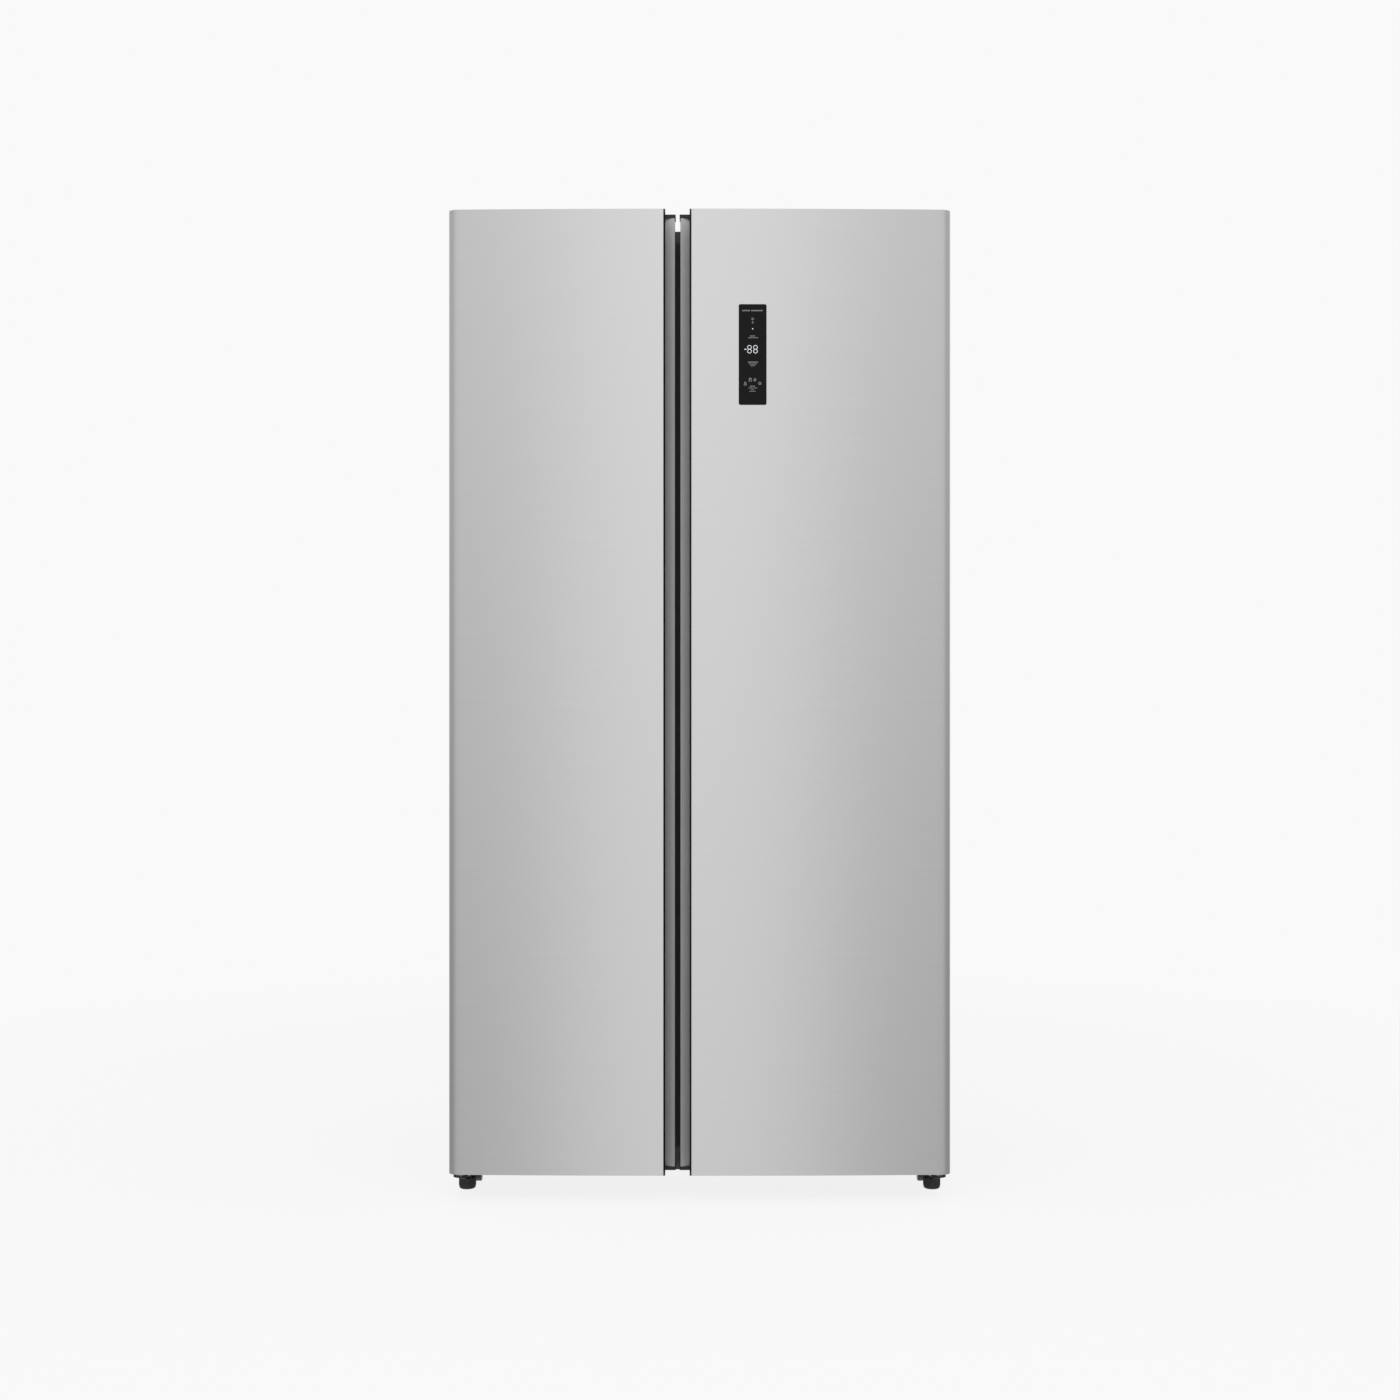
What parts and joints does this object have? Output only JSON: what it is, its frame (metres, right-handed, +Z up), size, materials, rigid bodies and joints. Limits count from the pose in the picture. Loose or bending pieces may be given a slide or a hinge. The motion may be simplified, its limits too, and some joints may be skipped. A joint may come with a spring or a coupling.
{
  "type": "side by side refrigerator",
  "caption": "Tall free-standing refrigerator with a narrow freezer door beside a wider fridge door, bowed steel fronts, full-height recessed grips and a touch panel.",
  "frame": {"origin": "on the floor, in the middle of the outside box", "axes": "+Z up, +Y from the doors to the back, +X to the right as seen from the front"},
  "size_m": [0.908, 0.69, 1.8],
  "materials": {
    "door_steel": "satin",
    "cabinet_paint": "satin",
    "galvanised": "satin",
    "zinc": "satin",
    "cap_plastic": "matte",
    "channel_grey": "satin",
    "foam": "matte",
    "liner_white": "gloss",
    "gasket": "matte",
    "clear_plastic": "gloss",
    "panel_glass": "gloss",
    "circuit_board": "satin",
    "shelf_glass": "gloss",
    "trim_plastic": "gloss",
    "lamp_lens": "satin",
    "black_enamel": "satin",
    "rubber": "matte",
    "fin_aluminium": "satin",
    "copper": "satin",
    "fan_plastic": "satin",
    "tray_plastic": "satin",
    "foot_plastic": "matte",
    "nylon": "satin"
  },
  "bodies": {
    "cabinet": {"cabinet_wrapper": "cabinet_paint", "back_panel": "galvanised", "base_deck": "galvanised", "compressor_base": "galvanised", "front_crossbeam": "cabinet_paint", "mullion_strip": "black_enamel", "cabinet_foam": "foam", "freezer_liner": "liner_white", "fridge_liner": "liner_white", "top_hinges": "zinc", "bottom_hinges": "black_enamel", "hinge_pins": "zinc", "hinge_covers": "cap_plastic", "cabinet_screws": "zinc", "roller_brackets": "zinc", "shelf_glass": "shelf_glass", "shelf_trims": "trim_plastic", "ceiling_lamps": "lamp_lens", "evaporator_cover": "liner_white", "evaporator": "fin_aluminium", "evaporator_fan_motor": "fan_plastic", "fridge_air_duct": "liner_white", "compressor": "black_enamel", "compressor_grommets": "rubber", "condenser": "fin_aluminium", "drip_tray": "tray_plastic", "condenser_fan_shroud": "tray_plastic", "condenser_fan_motor": "fan_plastic", "main_board_box": "tray_plastic", "refrigerant_pipes": "copper", "machine_cover": "galvanised", "mains_gland": "rubber"},
    "freezer_door": {"freezer_door_skin": "door_steel", "freezer_door_end_caps": "cap_plastic", "freezer_door_grip_channel": "channel_grey", "freezer_door_foam": "foam", "freezer_door_inner_liner": "liner_white", "freezer_door_gasket": "gasket", "freezer_door_bins": "clear_plastic"},
    "fridge_door": {"fridge_door_skin": "door_steel", "fridge_door_end_caps": "cap_plastic", "fridge_door_grip_channel": "channel_grey", "fridge_door_foam": "foam", "fridge_door_inner_liner": "liner_white", "fridge_door_gasket": "gasket", "fridge_door_bins": "clear_plastic", "control_panel_glass": "panel_glass", "display_board": "circuit_board"},
    "foot_left": {"foot_left": "foot_plastic"},
    "foot_right": {"foot_right": "foot_plastic"},
    "roller_front_left": {"roller_front_left": "nylon"},
    "roller_front_right": {"roller_front_right": "nylon"},
    "roller_rear_left": {"roller_rear_left": "nylon"},
    "roller_rear_right": {"roller_rear_right": "nylon"},
    "freezer_drawer_lower": {"freezer_drawer_lower": "clear_plastic"},
    "freezer_drawer_upper": {"freezer_drawer_upper": "clear_plastic"},
    "crisper_lower": {"crisper_lower": "clear_plastic"},
    "crisper_upper": {"crisper_upper": "clear_plastic"},
    "evaporator_fan": {"evaporator_fan": "fan_plastic"},
    "condenser_fan": {"condenser_fan": "fan_plastic"}
  },
  "joints": [
    {"name": "freezer_door_hinge", "type": "hinge", "parent": "cabinet", "child": "freezer_door", "pos_m": [-0.434, -0.305, 0], "axis": [0, 0, -1], "range_deg": [0, 120]},
    {"name": "fridge_door_hinge", "type": "hinge", "parent": "cabinet", "child": "fridge_door", "pos_m": [0.434, -0.305, 0], "axis": [0, 0, 1], "range_deg": [0, 120]},
    {"name": "freezer_drawer_lower_slide", "type": "slide", "parent": "cabinet", "child": "freezer_drawer_lower", "axis": [0, -1, 0], "range_m": [0, 0.151]},
    {"name": "freezer_drawer_upper_slide", "type": "slide", "parent": "cabinet", "child": "freezer_drawer_upper", "axis": [0, -1, 0], "range_m": [0, 0.211]},
    {"name": "crisper_lower_slide", "type": "slide", "parent": "cabinet", "child": "crisper_lower", "axis": [0, -1, 0], "range_m": [0, 0.151]},
    {"name": "crisper_upper_slide", "type": "slide", "parent": "cabinet", "child": "crisper_upper", "axis": [0, -1, 0], "range_m": [0, 0.211]},
    {"name": "evaporator_fan_spin", "type": "hinge", "parent": "cabinet", "child": "evaporator_fan", "pos_m": [-0.2345, 0.223, 0.95], "axis": [0, 1, 0], "continuous": true},
    {"name": "condenser_fan_spin", "type": "hinge", "parent": "cabinet", "child": "condenser_fan", "pos_m": [0.065, 0.2401, 0.148], "axis": [1, 0, 0], "continuous": true},
    {"name": "foot_left_turn", "type": "hinge", "parent": "cabinet", "child": "foot_left", "pos_m": [-0.431, -0.234, 0], "axis": [0, 0, 1], "continuous": true},
    {"name": "roller_front_left_spin", "type": "hinge", "parent": "cabinet", "child": "roller_front_left", "pos_m": [-0.418, -0.19, 0.0203], "axis": [1, 0, 0], "continuous": true},
    {"name": "roller_rear_left_spin", "type": "hinge", "parent": "cabinet", "child": "roller_rear_left", "pos_m": [-0.4, 0.27, 0.018], "axis": [1, 0, 0], "continuous": true},
    {"name": "foot_right_turn", "type": "hinge", "parent": "cabinet", "child": "foot_right", "pos_m": [0.431, -0.234, 0], "axis": [0, 0, 1], "continuous": true},
    {"name": "roller_front_right_spin", "type": "hinge", "parent": "cabinet", "child": "roller_front_right", "pos_m": [0.418, -0.19, 0.0203], "axis": [1, 0, 0], "continuous": true},
    {"name": "roller_rear_right_spin", "type": "hinge", "parent": "cabinet", "child": "roller_rear_right", "pos_m": [0.4, 0.27, 0.018], "axis": [1, 0, 0], "continuous": true}
  ],
  "couplings": [
    {"joint": "freezer_drawer_lower_slide", "follows": "freezer_door_hinge", "m_per_rad": 0.07162},
    {"joint": "freezer_drawer_upper_slide", "follows": "freezer_door_hinge", "m_per_rad": 0.10027},
    {"joint": "crisper_lower_slide", "follows": "fridge_door_hinge", "m_per_rad": 0.07162},
    {"joint": "crisper_upper_slide", "follows": "fridge_door_hinge", "m_per_rad": 0.10027}
  ]
}
